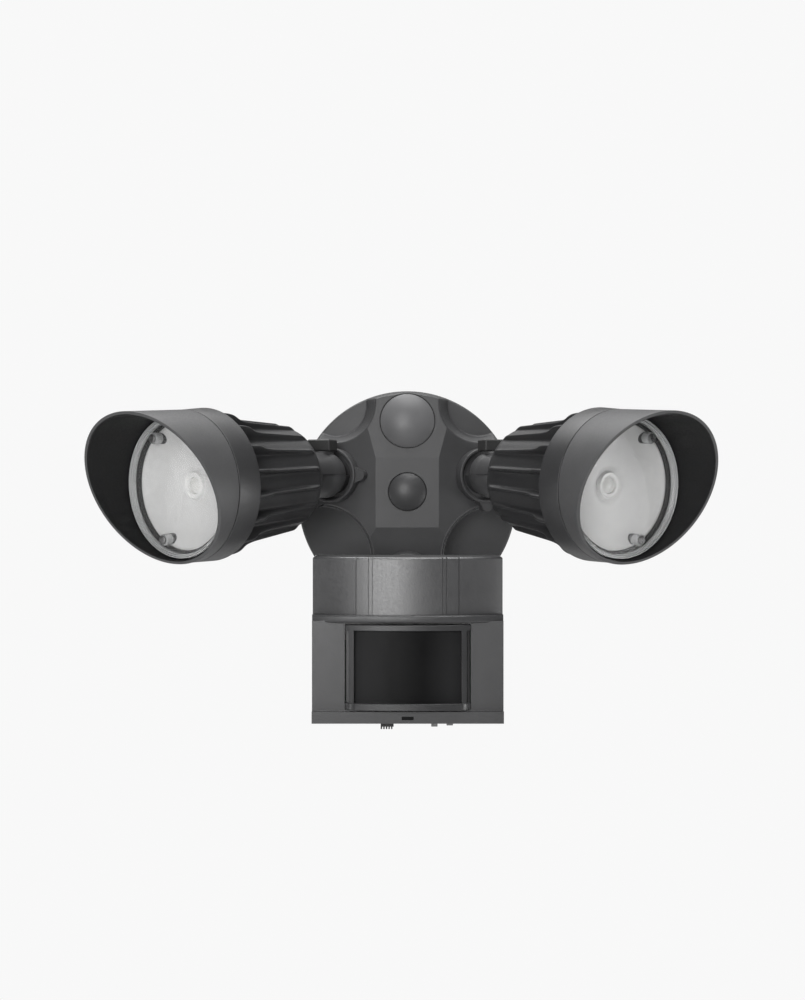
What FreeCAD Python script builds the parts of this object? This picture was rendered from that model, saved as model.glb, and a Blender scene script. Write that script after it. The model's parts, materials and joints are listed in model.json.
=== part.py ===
"""Motion sensor security light: a round canopy, two finned lamp heads with visors and an infrared sensor.

Frame: origin at the canopy's centre on the wall, +Z up, the light faces -Y. Millimetres and degrees.
Pieces at a port are drawn in the port's own frame: local X leaves the canopy, local Z is the pivot.
"""
import FreeCAD, Part
import math
import os

V = FreeCAD.Vector
X_AXIS, Y_AXIS, Z_AXIS = V(1, 0, 0), V(0, 1, 0), V(0, 0, 1)
LEFT, RIGHT = -1, 1
SIDES = {"left": LEFT, "right": RIGHT}

# ---- Fits and gaps ----
touch = 0.05            # pieces of one body that lie face to face
slip = 0.10             # radial play of a turning fit
gap = 0.30              # between moving pieces
over = 1.0              # how far a cutting tool runs past the face it cuts
cover_gap = 0.6         # shadow gap round the plug and the cap

# ---- Canopy ----
canopy_d = 120.0        # outer diameter at the wall
canopy_draft = 3.5      # how much the drum's radius shrinks up to the level of the hub's front
canopy_wall = 3.0
hub_h = 38.0            # front of the hub from the wall
hub_w = 33.6            # width of the flat front
hub_top = 22.5          # upper and lower edges of the flat front
hub_bottom = -14.6
side_slope = 21.5       # how far the four facets lean back
top_slope = 6.0
bottom_slope = 13.5
rim_h = 8.0             # height of the drum's rim beside the hub
crown_r = 20.0          # the drum's top rises inward from the rim to this level under the hub
crown_h = 17.0
low_scoop_angle = -33.2     # the hub's four hollow sides are arcs about lines square to the wall
low_scoop_out = -3.2        # those lines' distance beyond the drum's edge
low_scoop_reach = 27.4      # how near the hollow sides come to the canopy's centre
high_scoop_angle = 53.0
high_scoop_out = 5.5
high_scoop_reach = 42.6
high_scoop_draft = 7.0
low_scoop_draft = 1.8       # how much the hollow sides open towards the front
edge_round = 1.2
gasket_w = 3.5          # foam ring inside the rim
gasket_h = 3.0

# ---- Mounting strap and the screw that holds the canopy on it ----
box_screw_spacing = 88.9    # 3.5 in junction box
strap_w = 16.0
strap_t = 2.0
slot_w = 5.0
slot_l = 11.0
centre_z = 4.4              # the fixing screw sits a little above the canopy's centre
centre_screw_r = 2.5
centre_head_r = 4.6
centre_head_h = 2.8
centre_boss_r = 7.0
cap_r = 9.8
cap_rise = 3.2
cap_recess = 1.6
ground_screw_r = 2.0
ground_head_r = 3.8
ground_head_h = 2.0
ground_x = 20.0

# ---- Ports and the joints in them ----
port_d = 20.5           # half-inch conduit thread
port_boss_r = 13.6
port_boss_h = 9.0
side_port_reach = 24.1  # from the flat front's edge, down the facet
side_port_z = 13.2
low_port_reach = 27.2
top_port_reach = 19.8
plug_r = 14.3
plug_rise = 4.8
plug_recess = 0.9
seal_r = 12.4           # middle of the rubber rings in the port faces
seal_w = 1.5
ring_r = 14.5           # wing nut that locks a joint
ring_h = 6.2
ring_collar = 1.6
wing_r = 19.4
wing_tip_r = 3.0
wing_root = 9.0
wing_t = 4.4
wing_spread = 120.0
ball_h = 15.5           # joint centre above the facet
knuckle_r = 12.4
stem_bore_r = 6.3
stem_depth = 13.0
lug_pocket_r = 9.0
lug_pocket_h = 5.5
pivot_r = 2.5
pivot_boss_r = 6.0
pivot_head_w = 13.0
pivot_head_d = 10.5
pivot_head_h = 6.2

# ---- Lamp head, along its own axis from the joint centre ----
turn = {"left": 18.8, "right": 13.7}        # outward swing of each head on its pivot
visor_lean = {"left": 21.4, "right": 17.8}  # long side of each visor, outward from upright
wing_turn = {"left": 0.0, "right": 36.0, "sensor": -30.0}
droop = 3.8             # the head hangs this much below square to its pivot
neck_r = 12.2
rear_x = 26.6
shoulder_x = 29.6
shoulder_r = 27.2
rear_flat_r = 24.0
floor_rear_r = 26.2     # floor between the fins
floor_front_r = 29.2
fin_count = 18
fin_t = 1.9
fin_rear_r = 28.3
fin_knee_x = 65.0       # where the fins begin to sweep out
fin_knee_r = 31.7
fin_bend_x = 74.0
fin_bend_r = 35.6
collar_x = 84.0
collar_r = 37.8
seam_x = 97.7           # where the visor meets the collar
seam_step = 0.5         # the visor is this much smaller than the collar
spigot_wall = 2.3
lens_seat_x = 100.6
cup_step_x = 97.2
cup_step_w = 1.7        # ledge in the cup that carries the reflector and the seal
cavity_r = 20.0
rear_wall = 3.4
cup_floor_x = 86.5
carrier_t = 6.0         # plate that closes the cavity and carries the LED
carrier_r = 25.4
arm_thread_r = 8.0
arm_bore_r = 5.5
arm_nut_w = 22.0
arm_nut_h = 4.0
driver_x = 38.0
driver_l = 30.0
driver_chamfer = 3.0
led_board_r = 24.0
led_board_t = 1.6
led_base_r = 6.5
led_base_h = 2.9
led_dome_r = 3.7
led_dome_rise = 2.2
reflector_t = 1.0
reflector_hole_r = 7.0
reflector_floor_x = 91.0
lens_x = 100.8
lens_pane_t = 1.7
lens_rim_h = 3.2
lens_rim_w = 2.3
lens_screw_inset = 2.4  # the lens screws stand this far inside the cup's ledge
lens_screw_lean = 34.5  # first lens screw, outward from upright
lens_boss_r = 2.9
lens_boss_rise = 2.4
lens_screw_r = 1.2
lens_screw_head_r = 2.1
lens_screw_head_h = 1.2
lens_screw_l = 12.0
visor_wall = 1.8
bead_x = 99.1           # snap bead inside the visor, in a groove of the spigot
bead_w = 0.8
bead_h = 0.5
visor_tip_r = 37.8
visor_mean_x = 120.15   # where the slanted rim crosses the axis
visor_slant = 16.25     # the rim runs this far ahead of and behind that
visor_span = 37.4       # at this radius

# ---- Sensor, measured forward from the wall and down from the canopy's centre ----
sensor_w = 95.2
sensor_top = -28.4
sensor_bottom = -110.7
sensor_back = 61.0
sensor_split = 66.0
sensor_wall = 2.2
upper_side = 91.0       # the upper front is bowed: its sides and its middle
upper_mid = 103.0
ledge_top = -57.1
ledge_bottom = -61.1
ledge_side = 97.5
ledge_mid = 105.0
panel_front = 99.3
lip_top = -104.9
lip_front = 103.0
groove_depth = 0.7
groove_w = 0.6
groove_lines = (17.4, 19.3, 25.5)   # from the middle, on both sides
window_w = 6.0
window_h = 1.7
window_z = -108.1
frame_w = 62.0
frame_top = -62.0
frame_bottom = -103.9
frame_back = 94.0
frame_side = 101.5
frame_mid = 106.0
frame_bar_side = 2.5
frame_bar_inset = 1.8   # the side bars stand in from the ends of the top bar and the shelf
frame_bar_top = 2.7
frame_shelf = 3.2
shelf_reach = 1.6       # the lower bar stands this far ahead of the frame
shelf_round = 7.0
frame_front_wall = 2.4
pir_lens_t = 1.2
pir_lens_hold = 1.3     # lens tucked behind the frame's bars
case_screw_r = 1.5
case_head_r = 2.9
case_head_h = 2.0
case_post_r = 3.4
case_inset = 6.0
case_screw_l = 22.0
lip_depth = 3.0
board_t = 1.6
board_front = 81.6
board_w = 76.0
board_margin = 4.5
board_post_r = 2.6
pyro_r = 4.6
pyro_h = 4.4
pyro_z = -82.5
relay_w = 19.0
relay_h = 15.0
relay_t = 10.5
relay_z = -70.0
ball_r = 9.0
ball_neck_r = 4.5
ball_bore_r = 2.6
liner_t = 1.3
mouth_depth = 4.2       # the socket stops this far past the ball's centre
liner_back = 1.5        # and the liner this far behind it
cup_start = 6.5
socket_r = 12.5
clamp_plate_w = 44.0
clamp_plate_h = 14.0
clamp_plate_t = 3.0
clamp_screw_x = 17.5
clamp_screw_l = 7.5
photocell_w = 3.0
photocell_y = 89.0
control_y = 90.0
time_x = -10.3
time_w = 6.5
time_d = 5.0
time_drop = 4.0
time_travel = 4.0       # each way
time_rib = 0.6
time_rib_count = 5
time_body_w = 16.0
dial_x = (13.4, 21.1)
dial_drop = (3.0, 2.4)
dial_r = 3.2
dial_fin_t = 1.1
trimmer_h = 4.0
control_board_z = -102.0

# ---- Sizes that follow ----
canopy_r = canopy_d / 2
canopy_front_r = canopy_r - canopy_draft
seam_r = collar_r - seam_step
spigot_r = seam_r - visor_wall - gap
cup_rim_r = spigot_r - spigot_wall
cup_step_r = cup_rim_r - cup_step_w
reflector_r = cup_step_r + 2 * slip
lens_r = spigot_r - gap
lens_rim_inner_r = lens_r - lens_rim_w
lens_screw_ring_r = cup_step_r - lens_screw_inset
gasket_r = canopy_r - canopy_wall - touch - gasket_h * canopy_draft / hub_h
hub_half = hub_w / 2
port_r = port_d / 2
stem_r = port_r - slip
stem_top = ball_h - knuckle_r - gap
sensor_half = sensor_w / 2
carrier_x = cup_floor_x - carrier_t


# ---- Drawing helpers ----
def at(x, forward, z):
    """A point given by how far it stands forward of the wall."""
    return V(x, -forward, z)


def heading(degrees):
    """Unit vector in the local YZ plane, turned from Y towards Z."""
    return V(0, math.cos(math.radians(degrees)), math.sin(math.radians(degrees)))


def rod(radius, start, end, centre=V()):
    """Cylinder along local X between two stations, about a line through centre."""
    return Part.makeCylinder(radius, end - start, V(start, centre.y, centre.z), X_AXIS)


def tube(outer, inner, start, end):
    return rod(outer, start, end).cut(rod(inner, start - over, end + over))


def box(x0, x1, y0, y1, z0, z1):
    return Part.makeBox(x1 - x0, y1 - y0, z1 - z0, V(x0, y0, z0))


def block(x0, x1, forward0, forward1, z0, z1):
    """Box between two distances forward of the wall."""
    return box(x0, x1, -forward1, -forward0, z0, z1)


def turned(outline):
    """Solid of revolution about local X; the outline is a list of (station, radius)."""
    points = [V(x, 0, r) for x, r in outline]
    return Part.Face(Part.makePolygon(points + points[:1])).revolve(V(), X_AXIS, 360)


def beyond(point, normal):
    """Block that fills the side of a plane to which its normal points."""
    size = 4 * canopy_d
    half_space = Part.makeBox(size, size, size, V(-size / 2, -size / 2, 0))
    half_space.Placement = FreeCAD.Placement(point, FreeCAD.Rotation(Z_AXIS, normal))
    return half_space


def frame(origin, x_dir, z_dir):
    """Placement whose local X and Z axes lie along the two directions."""
    y_dir = z_dir.cross(x_dir)
    return FreeCAD.Placement(FreeCAD.Matrix(
        x_dir.x, y_dir.x, z_dir.x, origin.x,
        x_dir.y, y_dir.y, z_dir.y, origin.y,
        x_dir.z, y_dir.z, z_dir.z, origin.z,
        0, 0, 0, 1))


def placed(shape, placement):
    moved = shape.copy()
    moved.Placement = placement.multiply(shape.Placement)
    return moved


def fused(shapes):
    return shapes[0].multiFuse(shapes[1:]).removeSplitter() if len(shapes) > 1 else shapes[0]


def cut_all(shape, tools):
    return shape.cut(Part.makeCompound(tools)) if tools else shape


def dome(radius, rise, start):
    """Spherical cap along local X, flat at start."""
    ball = (radius ** 2 + rise ** 2) / (2 * rise)
    sphere = Part.makeSphere(ball, V(start + rise - ball, 0, 0))
    return sphere.common(rod(radius, start, start + rise + over))


def export(name, shapes):
    """Write one node: one solid, or a group of separate identical ones."""
    shapes = shapes if isinstance(shapes, list) else [shapes]
    shape = Part.makeCompound(shapes) if len(shapes) > 1 else shapes[0]
    shape.exportStep(os.path.join("parts", name + ".step"))


# ---- Where the ports are ----
def side_axis(side, slope=side_slope):
    return V(side * math.sin(math.radians(slope)), -math.cos(math.radians(slope)), 0)


def tilted_axis(slope):
    """Facet normal that leans up, or down when the slope is negative."""
    return V(0, -math.cos(math.radians(slope)), math.sin(math.radians(slope)))


def side_port(side):
    slope = math.radians(side_slope)
    foot = at(side * (hub_half + side_port_reach * math.cos(slope)),
              hub_h - side_port_reach * math.sin(slope), side_port_z)
    return frame(foot, side_axis(side), Z_AXIS)


def middle_port(edge_z, reach, slope):
    """Port on the upper facet, or on the lower one when the slope is negative."""
    lean = math.radians(abs(slope))
    foot = at(0, hub_h - reach * math.sin(lean), edge_z + math.copysign(reach * math.cos(lean), slope))
    axis = tilted_axis(slope)
    return frame(foot, axis, X_AXIS.cross(axis))


PORTS = {
    "left": side_port(LEFT),
    "right": side_port(RIGHT),
    "sensor": middle_port(hub_bottom, low_port_reach, -bottom_slope),
}
TOP_PORT = middle_port(hub_top, top_port_reach, top_slope)
CENTRE = frame(at(0, hub_h, centre_z), -Y_AXIS, Z_AXIS)


def joint_centre(port):
    return PORTS[port].multVec(V(ball_h, 0, 0))


def arm_frame(side):
    """Frame of a head's arm: at the joint centre, swung out on the pivot."""
    swing = FreeCAD.Placement(V(ball_h, 0, 0), FreeCAD.Rotation(Z_AXIS, SIDES[side] * turn[side]))
    return PORTS[side].multiply(swing)


def head_frame(side):
    """Frame of a lamp head: as its arm, but drooping."""
    return arm_frame(side).multiply(FreeCAD.Placement(V(), FreeCAD.Rotation(Y_AXIS, droop)))


# ---- Canopy ----
def canopy_form(inset):
    """The canopy's outer form with every face moved inward by inset: a low drum under a faceted hub."""
    hub = Part.makeCone(canopy_r - inset, canopy_front_r - inset, hub_h, V(), -Y_AXIS)
    facets = [(at(0, hub_h, 0), -Y_AXIS),
              (at(0, hub_h, hub_top), tilted_axis(top_slope)),
              (at(0, hub_h, hub_bottom), tilted_axis(-bottom_slope))]
    facets += [(at(side * hub_half, hub_h, 0), side_axis(side)) for side in SIDES.values()]
    for point, normal in facets:
        hub = hub.cut(beyond(point - normal * inset, normal))
    for angle, out, reach, draft in (
            (low_scoop_angle, low_scoop_out, low_scoop_reach, low_scoop_draft),
            (high_scoop_angle, high_scoop_out, high_scoop_reach, high_scoop_draft)):
        away = canopy_r + out
        for side in SIDES.values():
            foot = at(side * away * math.cos(math.radians(angle)), 0, away * math.sin(math.radians(angle)))
            radius = away - reach + inset
            hub = hub.cut(Part.makeCone(radius - draft, radius, hub_h, foot, -Y_AXIS))
    low = rim_h - inset
    rim_r = canopy_r - inset - canopy_draft * low / hub_h
    drum = Part.makeCone(canopy_r - inset, rim_r, low, V(), -Y_AXIS)
    crown = Part.makeCone(rim_r, crown_r, crown_h - rim_h, at(0, low, 0), -Y_AXIS)
    return fused([hub, drum, crown])


def outer_edges(form):
    """The form's edges above the rim, which are rounded; the wall face stays sharp."""
    return [edge for edge in form.Edges if edge.BoundBox.YMax < -rim_h / 2]


def canopy_housing():
    outer = canopy_form(0)
    outer = outer.makeFillet(edge_round, outer_edges(outer))
    inner = canopy_form(canopy_wall)
    bosses = [placed(rod(port_boss_r, -port_boss_h, -canopy_wall / 2), port) for port in PORTS.values()]
    bosses.append(placed(rod(port_boss_r, -port_boss_h, -canopy_wall / 2), TOP_PORT))
    bosses.append(placed(rod(centre_boss_r, strap_t + gap - hub_h, -canopy_wall / 2), CENTRE))
    shell = fused([outer.cut(inner)] + [boss.common(outer) for boss in bosses])
    cuts = [placed(rod(port_r, -stem_depth - over, over), port) for port in PORTS.values()]
    cuts += seal_rings(gap)
    cuts.append(placed(rod(port_r, -stem_depth - over, over), TOP_PORT))
    cuts.append(placed(rod(plug_r + cover_gap, -plug_recess, plug_rise), TOP_PORT))
    cuts.append(placed(rod(cap_r + cover_gap, -cap_recess, over), CENTRE))
    cuts.append(placed(rod(centre_head_r + gap, -cap_recess - centre_head_h, 0), CENTRE))
    cuts.append(placed(rod(centre_screw_r + gap, -hub_h, 0), CENTRE))
    return cut_all(shell, cuts)


def seal_rings(play=0.0):
    """Rubber rings in the faces of the four ports; with play they are the grooves that hold them."""
    ring = tube(seal_r + (seal_w + play) / 2, seal_r - (seal_w + play) / 2, -seal_w, play)
    plug_ring = placed(ring, FreeCAD.Placement(V(-plug_recess, 0, 0), FreeCAD.Rotation()))
    return [placed(ring, port) for port in PORTS.values()] + [placed(plug_ring, TOP_PORT)]


def canopy_gasket():
    """Foam ring inside the rim, flush with the wall face."""
    ring = Part.makeCylinder(gasket_r, gasket_h, V(), -Y_AXIS)
    return ring.cut(Part.makeCylinder(gasket_r - gasket_w, gasket_h, V(), -Y_AXIS))


def slot(x, z):
    """Cutter for one screw slot of the strap, its length along X."""
    half = (slot_l - slot_w) / 2
    ends = [Part.makeCylinder(slot_w / 2, strap_t + 2 * over, at(x + dx, -over, z), -Y_AXIS)
            for dx in (-half, half)]
    return fused(ends + [block(x - half, x + half, -over, strap_t + over, z - slot_w / 2, z + slot_w / 2)])


def mounting_strap():
    """Flat steel strap across the junction box; the centre screw threads into its pressed collar."""
    reach = gasket_r - gasket_w - gap
    strap = block(-reach, reach, 0, strap_t, centre_z - strap_w / 2, centre_z + strap_w / 2)
    strap = strap.common(Part.makeCylinder(reach, strap_t, V(), -Y_AXIS))
    holes = [slot(side * box_screw_spacing / 2, centre_z) for side in SIDES.values()]
    holes.append(placed(rod(centre_screw_r + slip, -hub_h - over, 0), CENTRE))
    holes.append(placed(rod(ground_screw_r + slip, -hub_h - over, 0, V(0, ground_x, 0)), CENTRE))
    return cut_all(strap, holes)


def centre_screw():
    head_top = -cap_recess - touch
    head = rod(centre_head_r, head_top - centre_head_h + touch, head_top)
    slot_cut = box(head_top - over, head_top + over, -centre_head_r, centre_head_r, -0.6, 0.6)
    shank = rod(centre_screw_r, -hub_h, head_top - over)
    return placed(fused([head, shank]).cut(slot_cut), CENTRE)


def centre_screw_cap():
    """Domed rubber cover in the recess over the fixing screw."""
    return placed(fused([rod(cap_r, -cap_recess + touch, 0), dome(cap_r, cap_rise, 0)]), CENTRE)


def ground_screw():
    """Green earthing screw in the strap."""
    front = strap_t + touch - hub_h
    head = rod(ground_head_r, front, front + ground_head_h, V(0, ground_x, 0))
    shank = rod(ground_screw_r, -hub_h, front, V(0, ground_x, 0))
    return placed(fused([head, shank]), CENTRE)


def port_plug():
    """Threaded plug with a domed head that closes the third lamp port."""
    head = fused([rod(plug_r, -plug_recess + touch, 0), dome(plug_r, plug_rise, 0)])
    shank = tube(stem_r, stem_bore_r, -port_boss_h, 0)
    return placed(fused([head, shank]), TOP_PORT)


# ---- Joints ----
def lock_ring(port):
    """Wing nut round the stem; its collar hides the joint's root."""
    ring = tube(ring_r, stem_r + slip, gap, gap + ring_h)
    ring = ring.cut(rod(ring_r - ring_collar, stem_top + touch, gap + ring_h + over))
    ring = ring.makeFillet(ring_collar / 3, [edge for edge in ring.Edges
                                             if edge.BoundBox.XMin > gap + ring_h - touch])
    parts = [ring]
    for angle in (wing_turn[port], wing_turn[port] - wing_spread):
        tip = heading(angle) * (wing_r - wing_tip_r)
        root = heading(angle) * (ring_r - ring_collar / 2)
        across = heading(angle + 90)
        corners = [root + across * wing_root / 2, tip + across * wing_tip_r,
                   tip - across * wing_tip_r, root - across * wing_root / 2]
        corners = [point + X_AXIS * 2 * gap for point in corners]
        web = Part.Face(Part.makePolygon(corners + corners[:1])).extrude(X_AXIS * wing_t)
        parts += [web, rod(wing_tip_r, 2 * gap, 2 * gap + wing_t, tip)]
    return placed(fused(parts), PORTS[port])


def lug_pocket(sign):
    """Wire passage round the pivot, in the meeting face of a lug."""
    ring = Part.makeCylinder(lug_pocket_r, lug_pocket_h, V(), Z_AXIS * sign)
    return ring.cut(Part.makeCylinder(pivot_boss_r - over, lug_pocket_h, V(), Z_AXIS * sign))


def knuckle_stem(side):
    """Threaded stem whose lower half-lug carries the pivot."""
    lug_space = beyond(V(ball_h, 0, -slip / 2), Z_AXIS)
    lug = fused([rod(stem_r, 0, ball_h), Part.makeSphere(knuckle_r, V(ball_h, 0, 0))]).cut(lug_space)
    pocket = lug_pocket(-1)
    pocket.translate(V(ball_h, 0, 0))
    bore = rod(stem_bore_r, -stem_depth - over, ball_h - pivot_boss_r)
    hole = Part.makeCylinder(pivot_r, 2 * knuckle_r, V(ball_h, 0, -2 * knuckle_r + lug_pocket_h), Z_AXIS)
    stem = fused([rod(stem_r, -stem_depth, stem_top), lug])
    return placed(cut_all(stem, [pocket, bore, hole]), PORTS[side])


def pivot_screw(side):
    """Square-headed clamp screw through both lugs of a knuckle."""
    seat = knuckle_r + touch
    shank = Part.makeCylinder(pivot_r, seat + knuckle_r - lug_pocket_h / 2,
                              V(ball_h, 0, -knuckle_r + lug_pocket_h / 2), Z_AXIS)
    head = box(ball_h - pivot_head_d / 2, ball_h + pivot_head_d / 2, -pivot_head_w / 2, pivot_head_w / 2,
               seat, seat + pivot_head_h)
    head = head.makeChamfer(edge_round / 2, head.Edges)
    return placed(fused([shank, head]), PORTS[side])


def knuckle_arm(side):
    """Upper half-lug and the neck behind a lamp head, threaded where it enters the head."""
    drooping = FreeCAD.Placement(V(), FreeCAD.Rotation(Y_AXIS, droop))
    neck = placed(rod(neck_r, knuckle_r + gap, rear_x - touch), drooping)
    upper = fused([Part.makeSphere(knuckle_r, V()), placed(rod(neck_r, 0, knuckle_r + gap + over), drooping)])
    upper = upper.cut(beyond(V(0, 0, slip / 2), -Z_AXIS))
    boss = Part.makeCylinder(pivot_boss_r, knuckle_r - lug_pocket_h, V(0, 0, lug_pocket_h), Z_AXIS)
    thread = placed(tube(arm_thread_r, arm_bore_r, rear_x - over, rear_x + rear_wall + arm_nut_h), drooping)
    arm = fused([upper, neck, boss])
    hole = Part.makeCylinder(pivot_r + slip, 2 * knuckle_r, V(), Z_AXIS)
    bore = placed(rod(arm_bore_r, pivot_boss_r, rear_x + over), drooping)
    arm = cut_all(arm, [lug_pocket(1), hole, bore])
    return placed(fused([arm, thread]), arm_frame(side))


# ---- Lamp heads ----
def visor_direction(side):
    """Towards the long side of a visor, in the head's frame."""
    lean = math.radians(visor_lean[side])
    return V(0, SIDES[side] * math.sin(lean), math.cos(lean))


def screw_directions(side):
    first = 90 - SIDES[side] * lens_screw_lean
    return [heading(first + 120 * turn_index) for turn_index in range(3)]


def fin(angle):
    """One radial fin of the heat sink."""
    tip_r = collar_r - 0.8 * over
    rear_x = shoulder_x + over / 2
    outline = [(rear_x, floor_rear_r - 2 * over), (rear_x, shoulder_r - over / 2),
               (shoulder_x + 2 * over, fin_rear_r), (fin_knee_x, fin_knee_r),
               ((fin_knee_x + fin_bend_x) / 2, (fin_knee_r + fin_bend_r) / 2 - over / 2),
               (fin_bend_x, fin_bend_r), ((fin_bend_x + collar_x) / 2, (fin_bend_r + tip_r) / 2 + over / 2),
               (collar_x, tip_r), (collar_x + over, tip_r), (collar_x + over, floor_front_r - 2 * over)]
    points = [V(x, -fin_t / 2, r) for x, r in outline]
    plate = Part.Face(Part.makePolygon(points + points[:1])).extrude(V(0, fin_t, 0))
    plate.rotate(V(), X_AXIS, angle)
    return plate


def heat_sink(side):
    """Die-cast lamp body: rear shoulder, finned barrel, front collar and the spigot for the visor."""
    groove_r = spigot_r - bead_h
    body = turned([(rear_x, 0), (rear_x, rear_flat_r), (rear_x + over, rear_flat_r + 2 * over),
                   (shoulder_x, shoulder_r), (shoulder_x + 2 * over, shoulder_r),
                   (shoulder_x + 4 * over, floor_rear_r), (collar_x, floor_front_r),
                   (collar_x, collar_r - over / 2), (collar_x + over / 2, collar_r), (seam_x, seam_r),
                   (seam_x, spigot_r), (bead_x - bead_w, spigot_r), (bead_x - bead_w, groove_r),
                   (bead_x + bead_w, groove_r), (bead_x + bead_w, spigot_r), (lens_seat_x, spigot_r),
                   (lens_seat_x, 0)])
    fins = [fin(360 * index / fin_count) for index in range(fin_count)]
    cavity = turned([(rear_x + rear_wall, 0), (rear_x + rear_wall, cavity_r), (carrier_x, cavity_r),
                     (carrier_x, carrier_r + touch), (cup_floor_x, carrier_r + touch),
                     (cup_floor_x, cup_step_r), (cup_step_x, cup_step_r), (cup_step_x, cup_rim_r),
                     (lens_seat_x + over, cup_rim_r), (lens_seat_x + over, 0)])
    posts = [rod(lens_boss_r, cup_floor_x - over, lens_x - lens_boss_rise - touch,
                 direction * lens_screw_ring_r) for direction in screw_directions(side)]
    holes = [rod(lens_screw_r, cup_floor_x, lens_x, direction * lens_screw_ring_r)
             for direction in screw_directions(side)]
    sink = cut_all(fused([body] + fins),
                   [cavity, rod(arm_thread_r + slip, rear_x - over, rear_x + rear_wall + over)])
    return placed(cut_all(fused([sink] + posts), holes), head_frame(side))


def led_carrier(side):
    """Plate that closes the driver's cavity and carries the LED board, with a hole for its leads."""
    plate = rod(carrier_r, carrier_x + touch, cup_floor_x)
    lead_hole = rod(led_dome_r, carrier_x - over, cup_floor_x + over, V(0, 0, cavity_r - 2 * led_dome_r))
    return placed(plate.cut(lead_hole), head_frame(side))


def arm_nut(side):
    """Hexagonal nut that holds the arm inside the lamp body."""
    start = rear_x + rear_wall + touch
    corners = [heading(60 * index) * (arm_nut_w / 2 / math.cos(math.radians(30))) + X_AXIS * start
               for index in range(6)]
    hexagon = Part.Face(Part.makePolygon(corners + corners[:1])).extrude(X_AXIS * (arm_nut_h - touch))
    return placed(hexagon.cut(rod(arm_thread_r + touch, start - over, start + arm_nut_h + over)),
                  head_frame(side))


def led_driver(side):
    """Potted LED driver, a plug-shaped can in the cavity."""
    radius = cavity_r - gap
    can = turned([(driver_x, 0), (driver_x, radius - driver_chamfer), (driver_x + driver_chamfer, radius),
                  (driver_x + driver_l, radius), (driver_x + driver_l, 0)])
    return placed(can, head_frame(side))


def led_board(side):
    """Metal-core board with the LED in its round base."""
    front = cup_floor_x + touch + led_board_t
    board = rod(led_board_r, cup_floor_x + touch, front)
    base = Part.makeCone(led_base_r, led_dome_r + over, led_base_h, V(front, 0, 0), X_AXIS)
    return placed(fused([board, base]), head_frame(side))


def led_lens(side):
    """Small dome over the LED."""
    return placed(dome(led_dome_r, led_dome_rise, cup_floor_x + led_board_t + led_base_h + 2 * touch),
                  head_frame(side))


def reflector(side):
    """Shallow white bowl round the LED, its rim held in the step of the cup."""
    rim = cup_step_x + touch
    outside = [(rim, cup_rim_r - gap), (rim, reflector_r - over), (reflector_floor_x, reflector_hole_r)]
    inside = [(x + reflector_t, r) for x, r in reversed(outside)]
    bowl = turned(outside + inside)
    notches = [rod(lens_boss_r + gap, cup_floor_x, lens_x, direction * lens_screw_ring_r)
               for direction in screw_directions(side)]
    return placed(cut_all(bowl, notches), head_frame(side))


def lens_seal(side):
    """Black rubber ring between the reflector's rim and the lens."""
    start = cup_step_x + touch + reflector_t + touch
    ring = tube(cup_rim_r - gap, cup_step_r + touch, start, lens_x - touch)
    notches = [rod(lens_boss_r + gap / 2, start - over, lens_x, direction * lens_screw_ring_r)
               for direction in screw_directions(side)]
    return placed(cut_all(ring, notches), head_frame(side))


def lens(side):
    """Clear cover with a stepped rim and three screw bosses."""
    pane = rod(lens_rim_inner_r + over, lens_x, lens_x + lens_pane_t)
    rim = turned([(lens_x, lens_rim_inner_r), (lens_x, lens_r), (lens_x + lens_rim_h - over, lens_r),
                  (lens_x + lens_rim_h, lens_r - over / 2), (lens_x + lens_rim_h, lens_rim_inner_r + over),
                  (lens_x + lens_pane_t, lens_rim_inner_r)])
    bosses = [rod(lens_boss_r, lens_x - lens_boss_rise, lens_x + lens_rim_h - over,
                  direction * lens_screw_ring_r) for direction in screw_directions(side)]
    holes = [rod(lens_screw_r + slip, lens_x - lens_boss_rise - over, lens_x + lens_rim_h + over,
                 direction * lens_screw_ring_r) for direction in screw_directions(side)]
    return placed(fused([pane, rim] + bosses).cut(Part.makeCompound(holes)), head_frame(side))


def lens_screws(side):
    seat = lens_x + lens_rim_h - over + touch
    screws = []
    for direction in screw_directions(side):
        centre = direction * lens_screw_ring_r
        head = rod(lens_screw_head_r, seat, seat + lens_screw_head_h, centre)
        shank = rod(lens_screw_r, seat - lens_screw_l, seat, centre)
        screws.append(placed(fused([head, shank]), head_frame(side)))
    return screws


def visor(side):
    """Hood that turns on the collar's spigot; its rim is one slanted plane, long side up and out."""
    start = seam_x + gap
    outer = Part.makeCone(seam_r, visor_tip_r, 2 * visor_span, V(start, 0, 0), X_AXIS)
    bore = spigot_r + slip
    inner = Part.makeCone(bore, visor_tip_r - visor_wall, 2 * visor_span + 2 * over,
                          V(start - over, 0, 0), X_AXIS)
    lean = visor_slant / visor_span
    rim_normal = X_AXIS - visor_direction(side) * lean
    bead = tube(bore + over, bore - bead_h, bead_x - bead_w / 2, bead_x + bead_w / 2)
    shell = fused([outer.cut(inner).cut(beyond(V(visor_mean_x, 0, 0), rim_normal)), bead])
    return placed(shell, head_frame(side))


# ---- Sensor ----
def bowed(half, back, side, mid, z0, z1):
    """Block whose front is an arc in plan: side forward at its ends, mid in the middle."""
    arc = Part.Arc(at(half, side, z0), at(0, mid, z0), at(-half, side, z0)).toShape()
    ends = [at(-half, side, z0), at(-half, back, z0), at(half, back, z0), at(half, side, z0)]
    lines = [Part.LineSegment(a, b).toShape() for a, b in zip(ends, ends[1:])]
    return Part.Face(Part.Wire([arc] + lines)).extrude(Z_AXIS * (z1 - z0))


def case_corners():
    """Where the four case screws stand."""
    return [(x, z) for x in (-sensor_half + case_inset, sensor_half - case_inset)
            for z in (sensor_bottom + case_inset, sensor_top - case_inset)]


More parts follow.
